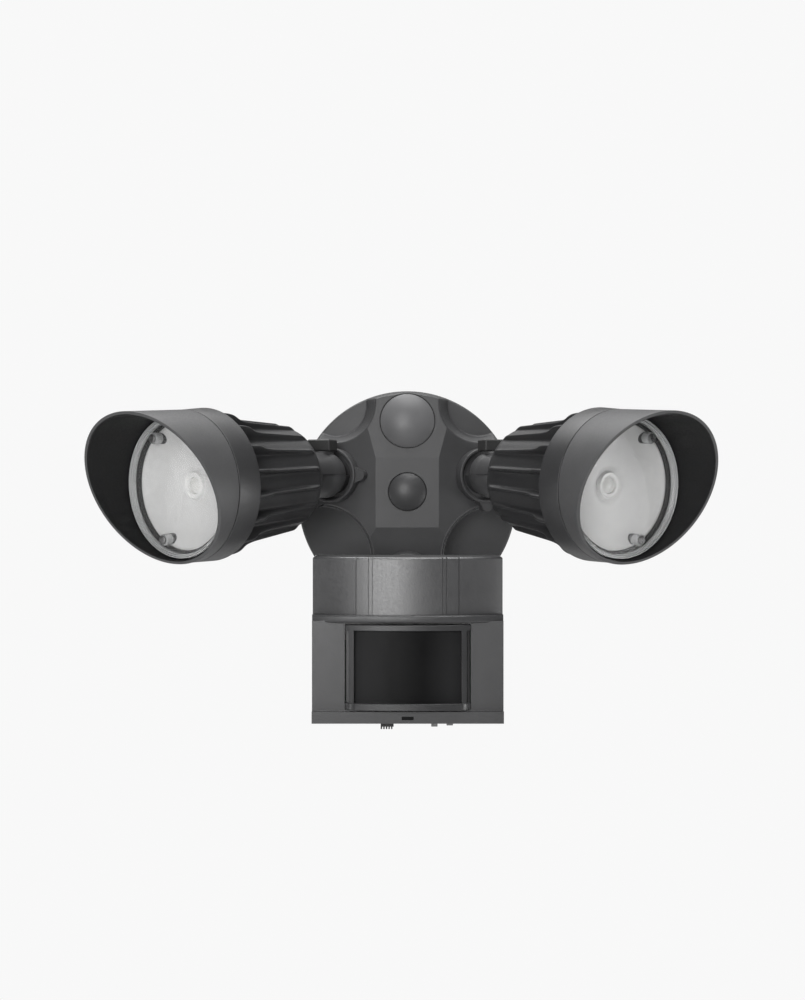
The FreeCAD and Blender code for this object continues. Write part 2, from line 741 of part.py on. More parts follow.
def forward_rod(radius, start, end, x, z):
    return Part.makeCylinder(radius, end - start, at(x, start, z), -Y_AXIS)


def front_grooves():
    """Fine upright grooves in the bowed upper front."""
    skin = bowed(sensor_half, sensor_back, upper_side - groove_depth, upper_mid - groove_depth,
                 ledge_top, sensor_top)
    lines = [block(side * x - groove_w / 2, side * x + groove_w / 2, sensor_back, upper_mid + over,
                   ledge_top, sensor_top + over) for x in groove_lines for side in SIDES.values()]
    return Part.makeCompound(lines).cut(skin)


def sensor_front():
    """Front shell of the sensor: bowed upper part, ledge, lens panel and lower lip."""
    upper = bowed(sensor_half, sensor_split, upper_side, upper_mid, ledge_top - over, sensor_top)
    crest = [edge for edge in upper.Edges if edge.BoundBox.ZMin > sensor_top - touch
             and edge.BoundBox.YMin < -upper_side + over]
    upper = upper.makeFillet(edge_round, crest)
    ledge = bowed(sensor_half, sensor_split, ledge_side, ledge_mid, ledge_bottom, ledge_top)
    brow = [edge for edge in ledge.Edges if edge.BoundBox.YMin < -ledge_mid + over
            and edge.BoundBox.ZLength < touch]
    ledge = ledge.makeFillet(edge_round, brow)
    panel = block(-sensor_half, sensor_half, sensor_split, panel_front, lip_top - over, ledge_bottom + over)
    lip = block(-sensor_half, sensor_half, sensor_split, lip_front, sensor_bottom, lip_top)
    body = fused([upper, ledge, panel, lip]).cut(front_grooves())
    wall = sensor_wall
    hollow = fused([
        bowed(sensor_half - wall, sensor_split - over, upper_side - wall, upper_mid - wall,
              ledge_top - wall - over, sensor_top - wall),
        block(wall - sensor_half, sensor_half - wall, sensor_split - over, panel_front - wall,
              sensor_bottom + wall, ledge_top - wall)])
    posts = [forward_rod(case_post_r, sensor_split, panel_front - over, x, z) for x, z in case_corners()]
    body = fused([body.cut(hollow)] + [post.common(body) for post in posts])
    cuts = [forward_rod(case_screw_r, sensor_split - over, sensor_split + case_screw_l, x, z)
            for x, z in case_corners()]
    cuts.append(block(-frame_w / 2 - gap, frame_w / 2 + gap, sensor_split + wall, lip_front + over,
                      frame_bottom - gap, frame_top + gap))
    cuts.append(block(-window_w / 2, window_w / 2, sensor_split + wall, lip_front + over,
                      window_z - window_h / 2, window_z + window_h / 2))
    cuts += control_openings()
    return cut_all(body, cuts)


def control_openings():
    """Slot for the slide switch and wells for the two dials, in the floor of the case."""
    floor = (sensor_bottom - over, sensor_bottom + sensor_wall + over)
    half = time_travel + time_w / 4 + gap
    openings = [block(time_x - half, time_x + half, control_y - time_d / 4, control_y + time_d / 4, *floor)]
    openings += [Part.makeCylinder(dial_r + gap, floor[1] - floor[0], at(x, control_y, floor[0]), Z_AXIS)
                 for x in dial_x]
    return openings


def sensor_back_cover():
    """Rear shell with the ball socket, the board posts and the screw holes."""
    plate = block(-sensor_half, sensor_half, sensor_back, sensor_split - touch, sensor_bottom, sensor_top)
    plate = plate.makeChamfer(lip_depth / 2, [edge for edge in plate.Edges
                                              if edge.BoundBox.YMin > -sensor_back - touch])
    hollow = block(sensor_wall - sensor_half, sensor_half - sensor_wall, sensor_back + sensor_wall,
                   sensor_split, sensor_bottom + sensor_wall, sensor_top - sensor_wall)
    posts = [forward_rod(case_post_r, sensor_back + sensor_wall / 2, sensor_split - touch, x, z)
             for x, z in case_corners()]
    posts += [forward_rod(board_post_r, sensor_back + sensor_wall / 2, board_front - board_t - touch, x, z)
              for x, z in board_corners()]
    ball = joint_centre("sensor")
    boss = forward_rod(socket_r, -ball.y, sensor_back + sensor_wall, 0, ball.z)
    shell = fused([plate.cut(hollow), Part.makeSphere(socket_r, ball), boss] + posts)
    cuts = [block(-socket_r - over, socket_r + over, 0, -ball.y - mouth_depth,
                  ball.z - socket_r - over, ball.z + socket_r + over)]
    seat = ball_r + slip + liner_t + slip
    cuts.append(Part.makeSphere(seat, ball))
    cuts.append(forward_rod(seat, -ball.y, sensor_split, 0, ball.z))
    for x, z in case_corners():
        cuts.append(forward_rod(case_screw_r + slip, 0, sensor_split + over, x, z))
        cuts.append(forward_rod(case_head_r + gap, 0, sensor_back + case_head_h, x, z))
    cuts += [forward_rod(case_screw_r, sensor_back, sensor_split, x, ball.z)
             for x in (-clamp_screw_x, clamp_screw_x)]
    return cut_all(shell, cuts)


def case_screws():
    screws = []
    for x, z in case_corners():
        head = forward_rod(case_head_r, sensor_back + touch, sensor_back + case_head_h - touch, x, z)
        shank = forward_rod(case_screw_r, sensor_back + touch, sensor_back + case_screw_l, x, z)
        screws.append(fused([head, shank]))
    return screws


def sensor_stem():
    """Threaded stem that ends in a ball, bored for the sensor's leads."""
    neck = rod(ball_neck_r, stem_top - over, ball_h)
    ball = Part.makeSphere(ball_r, V(ball_h, 0, 0))
    bore = rod(ball_bore_r, -stem_depth - over, ball_h + ball_r + over)
    stem = fused([rod(stem_r, -stem_depth, stem_top), neck, ball])
    return placed(stem.cut(bore), PORTS["sensor"])


def ball_liner():
    """Nylon ring between the ball and its socket."""
    ball = joint_centre("sensor")
    shell = Part.makeSphere(ball_r + slip + liner_t, ball).cut(Part.makeSphere(ball_r + slip, ball))
    half = ball_r + 2 * liner_t
    return shell.common(block(-half, half, -ball.y - mouth_depth, -ball.y + liner_back,
                              ball.z - half, ball.z + half))


def clamp_station():
    """Where the clamp plate's rear face stands, forward of the wall."""
    return sensor_back + sensor_wall + touch


def clamp_plate():
    """Plate inside the rear shell whose cup presses the ball into its socket."""
    ball = joint_centre("sensor")
    start = clamp_station()
    plate = block(-clamp_plate_w / 2, clamp_plate_w / 2, start, start + clamp_plate_t,
                  ball.z - clamp_plate_h / 2, ball.z + clamp_plate_h / 2)
    cup = forward_rod(ball_r, -ball.y + cup_start, start + clamp_plate_t, 0, ball.z)
    cuts = [Part.makeSphere(ball_r + slip, ball),
            forward_rod(ball_bore_r, start - over, start + clamp_plate_t + over, 0, ball.z)]
    cuts += [forward_rod(case_screw_r + slip, start - over, start + clamp_plate_t + over, x, ball.z)
             for x in (-clamp_screw_x, clamp_screw_x)]
    return cut_all(fused([plate, cup]), cuts)


def clamp_screws():
    head = clamp_station() + clamp_plate_t + touch
    z = joint_centre("sensor").z
    return [fused([forward_rod(case_head_r, head, head + case_head_h, x, z),
                   forward_rod(case_screw_r, head + over - clamp_screw_l, head + over, x, z)])
            for x in (-clamp_screw_x, clamp_screw_x)]


def lens_frame():
    """Frame round the sensor lens, its lower bar standing ahead as a rounded shelf."""
    half = frame_w / 2
    frame_block = bowed(half, frame_back, frame_side, frame_mid, frame_bottom, frame_top)
    shelf = bowed(half, frame_back, frame_side + shelf_reach, frame_mid + shelf_reach,
                  frame_bottom, frame_bottom + frame_shelf)
    ends = [edge for edge in shelf.Edges if edge.BoundBox.ZLength > frame_shelf / 2
            and edge.BoundBox.YMax < -frame_side]
    shelf = shelf.makeFillet(shelf_round, ends)
    bar_outer = half - frame_bar_inset
    bar_inner = bar_outer - frame_bar_side
    opening = block(-bar_inner, bar_inner, 0, frame_mid + 2 * shelf_reach,
                    frame_bottom + frame_shelf, frame_top - frame_bar_top)
    strips = [sorted((side * bar_outer, side * (half + over))) for side in SIDES.values()]
    sides = [block(*strip, frame_back + frame_front_wall, frame_mid + over,
                   frame_bottom + frame_shelf, frame_top - frame_bar_top) for strip in strips]
    pocket_half = bar_inner + pir_lens_hold + touch
    pocket = bowed(pocket_half, frame_back - over, frame_side - frame_front_wall + touch,
                   frame_mid - frame_front_wall + touch, frame_bottom + frame_shelf - pir_lens_hold - touch,
                   frame_top - frame_bar_top + pir_lens_hold + touch)
    return cut_all(fused([frame_block, shelf]), [opening, pocket] + sides)


def pir_lens():
    """Curved dark lens sheet behind the frame."""
    half = frame_w / 2 - frame_bar_inset - frame_bar_side + pir_lens_hold
    z0 = frame_bottom + frame_shelf - pir_lens_hold
    z1 = frame_top - frame_bar_top + pir_lens_hold
    front_side = frame_side - frame_front_wall
    front_mid = frame_mid - frame_front_wall
    outer = bowed(half, frame_back + over, front_side, front_mid, z0, z1)
    inner = bowed(half - pir_lens_t, frame_back, front_side - pir_lens_t, front_mid - pir_lens_t,
                  z0 - over, z1 + over)
    return outer.cut(inner)


def board_corners():
    half = board_w / 2 - board_margin
    return [(x, z) for x in (-half, half) for z in board_levels()]


def board_levels():
    """The main board's lower and upper edges, drawn in by its margin."""
    inset = sensor_wall + 2 * board_margin
    return (sensor_bottom + inset, sensor_top - inset)


def main_board():
    low, high = board_levels()
    return block(-board_w / 2, board_w / 2, board_front - board_t, board_front,
                 low - board_margin, high + board_margin)


def pyro_sensor():
    """Infrared sensor can on the board, behind the lens."""
    return forward_rod(pyro_r, board_front + touch, board_front + pyro_h, 0, pyro_z)


def relay():
    return block(-board_w / 2 + board_margin, -board_w / 2 + board_margin + relay_w,
                 board_front + touch, board_front + touch + relay_t, relay_z, relay_z + relay_h)


def photocell():
    """Daylight sensor that hangs from the small board and looks out through the window."""
    half = photocell_w / 2
    bottom = sensor_bottom + sensor_wall + gap
    stalk = block(-half, half, photocell_y, frame_back - gap, bottom, control_board_z - touch)
    eye = block(-half, half, photocell_y + over, panel_front - sensor_wall - touch, bottom,
                frame_bottom - over)
    return fused([stalk, eye])


def control_board():
    """Small board above the controls; its rear edge meets the main board."""
    left = time_x - time_body_w / 2
    right = dial_x[-1] + 2 * dial_r
    return block(left, right, board_front + touch, frame_back - gap, control_board_z,
                 control_board_z + board_t)


def switch_body():
    """Slide switch under the small board, above its slot in the case."""
    return block(time_x - time_body_w / 2, time_x + time_body_w / 2, control_y - time_d / 2,
                 control_y + time_d / 2, sensor_bottom + sensor_wall + 2 * over, control_board_z - touch)


def trimmers():
    """Two trimmer bodies above the dials."""
    return [block(x - dial_r, x + dial_r, control_y - dial_r, control_y + dial_r,
                  control_board_z - trimmer_h, control_board_z - touch) for x in dial_x]


def time_switch():
    """Ribbed slide knob under the case."""
    bottom = sensor_bottom - time_drop
    cap = block(time_x - time_w / 2, time_x + time_w / 2, control_y - time_d / 2, control_y + time_d / 2,
                bottom + 2 * time_rib, sensor_bottom - gap)
    pitch = time_w / time_rib_count
    ribs = [block(time_x - time_w / 2 + pitch * index, time_x - time_w / 2 + pitch * (index + 0.55),
                  control_y - time_d / 2, control_y + time_d / 2, bottom, bottom + 2 * time_rib)
            for index in range(time_rib_count)]
    neck = block(time_x - time_w / 4, time_x + time_w / 4, control_y - time_d / 4 + gap,
                 control_y + time_d / 4 - gap, sensor_bottom - gap,
                 sensor_bottom + sensor_wall + 2 * over - gap)
    return fused([cap, neck] + ribs)


def dial(x, drop):
    """Round trimmer dial with a finger fin that stands below the case."""
    top = control_board_z - trimmer_h - gap
    disc = Part.makeCylinder(dial_r, top - sensor_bottom - gap, at(x, control_y, sensor_bottom + gap), Z_AXIS)
    fin_bar = block(x - dial_r / 2, x + dial_r / 2, control_y - dial_fin_t / 2, control_y + dial_fin_t / 2,
                    sensor_bottom - drop, sensor_bottom + 2 * gap)
    return fused([disc, fin_bar])


def indicator_window():
    """Dark window in the lip, over the daylight sensor."""
    return block(touch - window_w / 2, window_w / 2 - touch, lip_front - 2 * sensor_wall, lip_front - gap,
                 window_z - window_h / 2 + touch, window_z + window_h / 2 - touch)


# ---- Build ----
def main():
    os.makedirs("parts", exist_ok=True)
    export("canopy_housing", canopy_housing())
    export("canopy_gasket", canopy_gasket())
    export("mounting_strap", mounting_strap())
    export("centre_screw", centre_screw())
    export("centre_screw_cap", centre_screw_cap())
    export("ground_screw", ground_screw())
    export("port_plug", port_plug())
    export("port_seals", seal_rings())
    for side in SIDES:
        export(side + "_lock_ring", lock_ring(side))
        export(side + "_knuckle_stem", knuckle_stem(side))
        export(side + "_pivot_screw", pivot_screw(side))
        export(side + "_knuckle_arm", knuckle_arm(side))
        export(side + "_heat_sink", heat_sink(side))
        export(side + "_arm_nut", arm_nut(side))
        export(side + "_led_driver", led_driver(side))
        export(side + "_led_carrier", led_carrier(side))
        export(side + "_led_board", led_board(side))
        export(side + "_led_lens", led_lens(side))
        export(side + "_reflector", reflector(side))
        export(side + "_lens_seal", lens_seal(side))
        export(side + "_lens", lens(side))
        export(side + "_lens_screws", lens_screws(side))
        export(side + "_visor", visor(side))
    export("sensor_lock_ring", lock_ring("sensor"))
    export("sensor_stem", sensor_stem())
    export("sensor_ball_liner", ball_liner())
    export("sensor_clamp_plate", clamp_plate())
    export("sensor_clamp_screws", clamp_screws())
    export("sensor_back_cover", sensor_back_cover())
    export("sensor_front", sensor_front())
    export("sensor_case_screws", case_screws())
    export("sensor_lens_frame", lens_frame())
    export("sensor_lens", pir_lens())
    export("sensor_main_board", main_board())
    export("sensor_pyro_can", pyro_sensor())
    export("sensor_relay", relay())
    export("sensor_photocell", photocell())
    export("sensor_control_board", control_board())
    export("sensor_switch_body", switch_body())
    export("sensor_trimmers", trimmers())
    export("indicator_window", indicator_window())
    export("time_switch", time_switch())
    export("range_dial", dial(dial_x[0], dial_drop[0]))
    export("light_level_dial", dial(dial_x[1], dial_drop[1]))


main()
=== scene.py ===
"""Motion sensor security light: the coated castings, visors, lenses and the infrared sensor.

Sizes are in millimetres and degrees, and meshes are scaled to metres when they are made.
A lamp head's own frame has its axis along local X, leaving the joint, and its pivot along Z.
Every turned profile is a list of (station along local X, radius) pairs.
"""

import json
import math

import bmesh
import bpy
import numpy as np
from mathutils import Matrix, Vector

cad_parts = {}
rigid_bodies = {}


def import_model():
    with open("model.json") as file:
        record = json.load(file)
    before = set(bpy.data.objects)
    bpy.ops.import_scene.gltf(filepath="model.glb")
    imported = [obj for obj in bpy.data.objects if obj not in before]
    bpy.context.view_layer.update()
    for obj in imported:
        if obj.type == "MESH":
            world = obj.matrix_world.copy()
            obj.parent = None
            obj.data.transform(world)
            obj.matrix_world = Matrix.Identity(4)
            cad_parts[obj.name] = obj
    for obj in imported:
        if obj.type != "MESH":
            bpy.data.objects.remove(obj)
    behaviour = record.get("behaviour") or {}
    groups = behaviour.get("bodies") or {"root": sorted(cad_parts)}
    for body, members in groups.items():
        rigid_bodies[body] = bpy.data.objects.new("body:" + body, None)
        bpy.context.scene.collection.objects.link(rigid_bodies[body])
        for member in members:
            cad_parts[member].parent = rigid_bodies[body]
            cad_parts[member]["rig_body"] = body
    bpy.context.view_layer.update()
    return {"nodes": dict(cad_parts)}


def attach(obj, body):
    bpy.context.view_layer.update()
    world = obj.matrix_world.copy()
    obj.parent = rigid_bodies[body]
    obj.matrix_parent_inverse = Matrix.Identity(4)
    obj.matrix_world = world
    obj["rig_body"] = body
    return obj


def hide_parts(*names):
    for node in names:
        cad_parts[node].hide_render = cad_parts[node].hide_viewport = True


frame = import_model()
SIDES = {"left": -1, "right": 1}
MM = 0.001

# ---- Sizes ----
hub_reach = 38.0                            # hub face, ahead of the wall
facet_lean = 21.5                           # side facets, turned outward
facet_root = 16.8                           # inner edge of a side facet, from the middle
facet_length = 24.1                         # from there to the port, along the facet
side_port_z = 13.2
upper_lean = 6.0                            # upper facet, turned up
upper_root = 22.5                           # lower edge of the upper facet
upper_length = 19.8                         # from there to the port, along the facet
neck_length = 15.5                          # port to the head's joint
head_droop = 3.8
head_swing = {"left": 18.8, "right": 13.7}  # outward
fins = 18
screw_ring_r = 28.8
first_screw = 34.5                          # outward from upright
visor_turn = {"left": 21.4, "right": 17.8}  # long side, outward from upright
rim_station = 120.15                        # visor's rim on its axis
rim_slant = 16.25 / 37.4                    # visor's rim, rise across the axis
inside_shade_r = 36.1                             # between the visor's inner and outer faces
cap_z = 4.4                                 # cover of the centre screw


# ---- Camera, 1 m ahead of the wall and fitted to the photo's outline ----
camera = bpy.data.objects.new("camera", bpy.data.cameras.new("camera"))
bpy.context.scene.collection.objects.link(camera)
camera.location = (-0.0026, -1.0, 0.0)
camera.rotation_euler = (math.radians(90), 0, 0)
camera.data.lens = 65.27
camera.data.clip_end = 40
bpy.context.scene.camera = camera


# ---- Frames ----
def spin(axis, degrees):
    """Turning matrix about X, Y or Z."""
    return np.array(Matrix.Rotation(math.radians(degrees), 4, axis))


def shift(x, y, z):
    """Moving matrix."""
    return np.array(Matrix.Translation((x, y, z)))


def port(side):
    """A side port's frame: its axis leaves the canopy forward and outward, square to the facet."""
    lean = math.radians(facet_lean)
    axis = np.array([SIDES[side] * math.sin(lean), -math.cos(lean), 0])
    up = np.array([0, 0, 1.0])
    made = np.eye(4)
    made[:3, 0] = axis
    made[:3, 1] = np.cross(up, axis)
    made[:3, 2] = up
    made[:3, 3] = (SIDES[side] * (facet_root + facet_length * math.cos(lean)),
                   -(hub_reach - facet_length * math.sin(lean)), side_port_z)
    return made


def upper_port():
    """The plugged port's frame: its axis leaves the canopy forward and a little up."""
    lean = math.radians(upper_lean)
    axis = np.array([0, -math.cos(lean), math.sin(lean)])
    up = np.cross(np.array([1.0, 0, 0]), axis)
    made = np.eye(4)
    made[:3, 0] = axis
    made[:3, 1] = np.cross(up, axis)
    made[:3, 2] = up
    made[:3, 3] = (0, -(hub_reach - upper_length * math.sin(lean)),
                   upper_root + upper_length * math.cos(lean))
    return made


def cap_port():
    """The centre cap's frame: its local X points straight forward from the hub face."""
    forward = np.array([[0, 1.0, 0, 0], [-1, 0, 0, 0], [0, 0, 1, 0], [0, 0, 0, 1]])
    return shift(0, -hub_reach, cap_z) @ forward


def head(side):
    """A lamp head's frame: at its joint, swung outward and drooping a little."""
    swing = head_swing[side] * SIDES[side]
    return port(side) @ shift(neck_length, 0, 0) @ spin("Z", swing) @ spin("Y", head_droop)


def screw_spots(side):
    """Frames of the three lens screws, evenly spaced on their ring."""
    first = 90 - SIDES[side] * first_screw
    turns = np.radians(first + np.array([0, 120, 240]))
    return [head(side) @ shift(0, screw_ring_r * math.cos(turn), screw_ring_r * math.sin(turn))
            for turn in turns]


# ---- Meshes ----
def put(points, place):
    """Points taken from a local frame to the row frame."""
    return points @ place[:3, :3].T + place[:3, 3]


def grid_faces(shape, wrap_rows, wrap_columns):
    """Corner numbers of the quads between neighbouring points of a grid."""
    rows, columns = shape
    r, c = np.meshgrid(np.arange(rows if wrap_rows else rows - 1),
                       np.arange(columns if wrap_columns else columns - 1), indexing="ij")
    r2, c2 = (r + 1) % rows, (c + 1) % columns
    quads = [r * columns + c, r * columns + c2, r2 * columns + c2, r2 * columns + c]
    return np.stack(quads, -1).reshape(-1, 4)


def finish_mesh(mesh, name, body, material, stands_for, sharp, closed):
    """Merges poles and seams, turns faces outward, keeps edges over the sharp angle and rides."""
    work = bmesh.new()
    work.from_mesh(mesh)
    bmesh.ops.remove_doubles(work, verts=work.verts, dist=1e-6)
    bmesh.ops.dissolve_degenerate(work, edges=work.edges, dist=1e-7)
    if closed:
        bmesh.ops.recalc_face_normals(work, faces=work.faces)
    work.to_mesh(mesh)
    work.free()
    mesh.shade_smooth()
    mesh.set_sharp_from_angle(angle=math.radians(sharp))
    mesh.materials.clear()
    mesh.materials.append(material)
    made = bpy.data.objects.new(name, mesh)
    bpy.context.scene.collection.objects.link(made)
    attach(made, body)
    if stands_for:
        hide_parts(*stands_for)
    return made


def piece(name, body, material, grids, stands_for=(), sharp=35.0):
    """One mesh of several grids, each (points, rows wrap, columns wrap), in millimetres."""
    points, faces, start = [], [], 0
    for grid, wrap_rows, wrap_columns in grids:
        points.append(grid.reshape(-1, 3))
        faces.append(grid_faces(grid.shape[:2], wrap_rows, wrap_columns) + start)
        start += grid.shape[0] * grid.shape[1]
    mesh = bpy.data.meshes.new(name)
    mesh.from_pydata((np.concatenate(points) * MM).tolist(), [], np.concatenate(faces).tolist())
    return finish_mesh(mesh, name, body, material, stands_for, sharp, True)


def eased(profile, radius, steps=5):
    """A profile, or a stack of them, with rounded corners.

    Each corner becomes the parabola (1-t)^2 P + 2t(1-t) C + t^2 Q between the points P and Q that
    lie the radius away from the corner C, or just under half a side where the sides are short.
    """
    profile = np.asarray(profile, float)
    t = np.linspace(0, 1, steps).reshape(-1, *[1] * (profile.ndim - 1))
    out = [profile[:1]]
    for index in range(1, len(profile) - 1):
        corner = profile[index]
        back, ahead = profile[index - 1] - corner, profile[index + 1] - corner
        long_back = np.linalg.norm(back, axis=-1, keepdims=True) + 1e-9
        long_ahead = np.linalg.norm(ahead, axis=-1, keepdims=True) + 1e-9
        reach = np.minimum(radius, 0.48 * np.minimum(long_back, long_ahead))
        start, end = corner + back / long_back * reach, corner + ahead / long_ahead * reach
        out.append((1 - t) ** 2 * start + 2 * t * (1 - t) * corner + t ** 2 * end)
    out.append(profile[-1:])
    return np.concatenate(out)


def lathe(profile, place, columns=96):
    """Surface of revolution about local X, open at both ends of the profile."""
    angle = np.linspace(0, 2 * np.pi, columns, endpoint=False)
    x, r = np.asarray(profile, float).T[:, :, None]
    grid = np.stack(np.broadcast_arrays(x, r * np.cos(angle), r * np.sin(angle)), -1)
    return put(grid, place), False, True


def turned(profile, place, columns=96, radius=0.3):
    """A closed ring: an eased profile carried round local X and back to its start."""
    ring = np.concatenate([profile, profile[:1]])
    grid, _, wrap = lathe(eased(ring, radius)[1:], place, columns)
    return grid, True, wrap


def dressed(node, material, bevel):
    """The CAD node's own form as one merged mesh with rounded edges; it stands for the node."""
    sharp = 32.0
    mesh = frame["nodes"][node].data.copy()
    work = bmesh.new()
    work.from_mesh(mesh)
    bmesh.ops.remove_doubles(work, verts=work.verts, dist=2e-6)
    bmesh.ops.dissolve_limit(work, angle_limit=math.radians(0.6), verts=work.verts,
                             edges=work.edges)
    work.to_mesh(mesh)
    work.free()
    body = frame["nodes"][node]["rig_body"]
    made = finish_mesh(mesh, node + "_skin", body, material, (node,), sharp, False)
    rounding = made.modifiers.new("rounded_edges", "BEVEL")
    rounding.width = bevel * MM
    rounding.segments = 2
    rounding.limit_method = "ANGLE"
    rounding.angle_limit = math.radians(sharp)
    rounding.use_clamp_overlap = True
    levelled = made.modifiers.new("flat_faces_stay_flat", "WEIGHTED_NORMAL")
    levelled.weight = 90
    levelled.keep_sharp = True


# ---- Lamp head pieces, in the head's own frame ----
def fin_section(floor, height):
    """Angles and radii across one fin and the valley after it, a row for each station.

    By the distance from the fin's middle, the height falls by the tip's rounding, then down the
    drafted wall to a small fillet, and is 0 in the valley.
    """
    across = np.array([0, 0.3, 0.5, 0.66, 0.76, 0.88, 1.0, 1.25, 1.7, 2.4])
    rounding = np.array([0, 0.04, 0.16, 0.36, 0.65, 0, 0, 0, 0, 0])
    fillet = np.array([0, 0, 0, 0, 0, 1.6, 0.9, 0.36, 0.1, 0.0])
    on_tip = across <= 0.77
    small = np.minimum(height / 2.4, 1)[:, None]
    foot = np.minimum(fillet * small, height[:, None])
    radius = floor[:, None] + np.where(on_tip, height[:, None] - rounding * small, foot)
    angle = np.arcsin(across / radius)
    gap = 2 * np.pi / fins - 2 * angle[:, -1:]
    valley = angle[:, -1:] + np.array([0.25, 0.5, 0.75]) * gap
    valley_radius = np.repeat(floor[:, None], 3, 1)
    return (np.concatenate([-angle[:, :0:-1], angle, valley], 1),
            np.concatenate([radius[:, :0:-1], radius, valley_radius], 1))


def heat_sink(side):
    """Cast lamp body, a grid of stations by angles.

    A station's radius is floor + fin(across) * height. Floor and fin outline are eased polylines
    of the station. The stations behind and ahead of the fins are turned profiles.
    """
    finned_from, shoulder_to = 29.5, 33.4
    rear = eased([(29.4, 11.0), (26.6, 11.0), (26.6, 23.2), (27.7, 25.4), (30.0, 26.1),
                  (31.8, 26.2), (33.4, 26.3)], 1.4)
    shoulder = rear[6:]
    floor_line = eased([(33.4, 26.3), (50.0, 27.3), (84.0, 29.2)], 3.0)
    tip_line = eased([(29.6, 26.1), (30.8, 27.0), (33.0, 28.2), (64.0, 31.6), (69.8, 32.9),
                      (74.5, 35.6), (79.0, 36.7), (84.0, 37.1)], 3.2, 9)
    front = eased([(84.0, 29.2), (84.0, 37.8), (97.7, 37.3), (97.7, 35.2), (100.6, 35.2),
                   (100.6, 32.9), (97.2, 32.9), (97.2, 31.2), (86.5, 31.2), (86.5, 20.0),
                   (29.4, 20.0), (29.4, 11.0)], 0.45)
    x = np.concatenate([[29.6, 30.0, 30.4, 31.0, 31.8, 33.4],
                        np.linspace(35, 63, 9), np.linspace(65, 84, 20)])
    floor = np.where(x < shoulder_to, np.interp(x, *shoulder.T), np.interp(x, *floor_line.T))
    one_angle, one_radius = fin_section(floor, np.maximum(np.interp(x, *tip_line.T) - floor, 0))
    starts = np.arange(fins) * (2 * np.pi / fins)
    angle = (one_angle[:, None, :] + starts[None, :, None]).reshape(len(x), -1)
    radius = np.tile(one_radius, (1, fins))

    def plain(profile, row):
        """A turned part, with the angles of one row of the finned part."""
        shape = (len(profile), angle.shape[1])
        values = (profile[:, :1], profile[:, 1:], angle[row])
        return [np.broadcast_to(value, shape) for value in values]

    parts = [plain(rear[rear[:, 0] < finned_from], 0),
             [np.broadcast_to(x[:, None], radius.shape), radius, angle], plain(front[2:], -1)]
    x, radius, angle = (np.concatenate(values) for values in zip(*parts))
    grid = np.stack([x, radius * np.sin(angle), radius * np.cos(angle)], -1)
    post = [(86.0, 1.2), (86.0, 2.9), (98.3, 2.9), (98.3, 1.2)]
    piece(side + "_heat_sink_casting", side + "_head", FIN_COAT,
          [(put(grid, head(side)), True, True)]
          + [turned(post, spot, 24) for spot in screw_spots(side)], (side + "_heat_sink",), 42)


def visor(side):
    """Hood: a closed wall profile carried round the axis, cut at the front by a slanted plane.

    At angle a the rim stands at station + slant * (p . d), where p is the wall's place across the
    axis and d points outward from upright, towards the long side.
    """
    turn = np.linspace(0, 2 * np.pi, 180, endpoint=False)
    lean = math.radians(visor_turn[side])
    along = np.cos(turn) * SIDES[side] * math.sin(lean) + np.sin(turn) * math.cos(lean)

    def wall(x, r):
        """Station and radius at every angle."""
        return np.stack(np.broadcast_arrays(x, r, turn)[:2], -1)

    def rim(r):
        return rim_station + rim_slant * r * along

    corners = np.stack([wall(104.0, 35.38), wall(98.0, 35.3), wall(98.0, 37.3), wall(104.0, 37.34),
                        wall(rim(37.6), 37.6), wall(rim(35.85), 35.85), wall(104.0, 35.38)])
    outline = eased(corners, 0.55, 6)[1:]
    x, r = outline[..., 0], outline[..., 1]
    place = head(side)
    grid = put(np.stack([x, r * np.cos(turn), r * np.sin(turn)], -1), place)
    hood = piece(side + "_visor_hood", side + "_visor", VISOR_COAT, [(grid, True, True)],
                 (side + "_visor",), 50)
    # Painted shade: faces inside the hood get a much darker coat than its outside.
    hood.data.materials.append(VISOR_INSIDE_SHADE)
    centres = np.array([face.center for face in hood.data.polygons]) / MM - place[:3, 3]
    across = np.hypot(centres @ place[:3, 1], centres @ place[:3, 2])
    for face, radius in zip(hood.data.polygons, across):
        face.material_index = int(radius < inside_shade_r)


def reflector(side):
    """White bowl, 0.9 mm thick, with u from 0 at the LED's hole to 1 at the rim.

    The station is 92 + 6.2 * u^1.9, less a soft dip of 1.1 * exp(-(u / 0.07)^2) round the hole.
    """
    u = np.linspace(0, 1, 60) ** 1.4
    station = 92.0 + 6.2 * u ** 1.9 - 1.1 * np.exp(-(u / 0.07) ** 2)
    front = np.stack([station, 7.0 + 23.6 * u], -1)
    profile = np.concatenate([front, [(98.2, 32.5), (97.3, 32.5)], front[::-1] - (0.9, 0)])
    piece(side + "_reflector_bowl", side + "_head", REFLECTOR_WHITE,
          [turned(profile, head(side), 128, 0.4)], (side + "_reflector",), 50)


def led(side):
    """LED in its round base: a thin ring round a flat with a finer ring and a low dome.

    At radius r the dome's station is 91.4 + 1.4 * (1 - (r / 3.9)^2).
    """
    base = [(86.6, 1.0), (86.6, 24.0), (88.1, 24.0), (88.1, 6.9), (90.9, 6.9), (91.1, 6.6),
            (92.5, 6.55), (92.9, 6.2), (92.5, 5.8), (92.4, 4.7), (92.7, 4.4), (92.3, 4.1),
            (91.2, 3.9), (91.2, 1.0)]
    piece(side + "_led_on_board", side + "_head", LED_WHITE, [turned(base, head(side), 96, 0.35)],
          (side + "_led_board",), 50)
    r = np.linspace(3.7, 0, 26)
    rise = 91.4 + 1.4 * (1 - (r / 3.9) ** 2)
    dome = np.concatenate([[(91.25, 0.0), (91.25, 3.7)], np.stack([rise, r], -1)])
    piece(side + "_led_dome", side + "_head", LED_DOME, [lathe(dome, head(side), 64)],
          (side + "_led_lens",), 50)


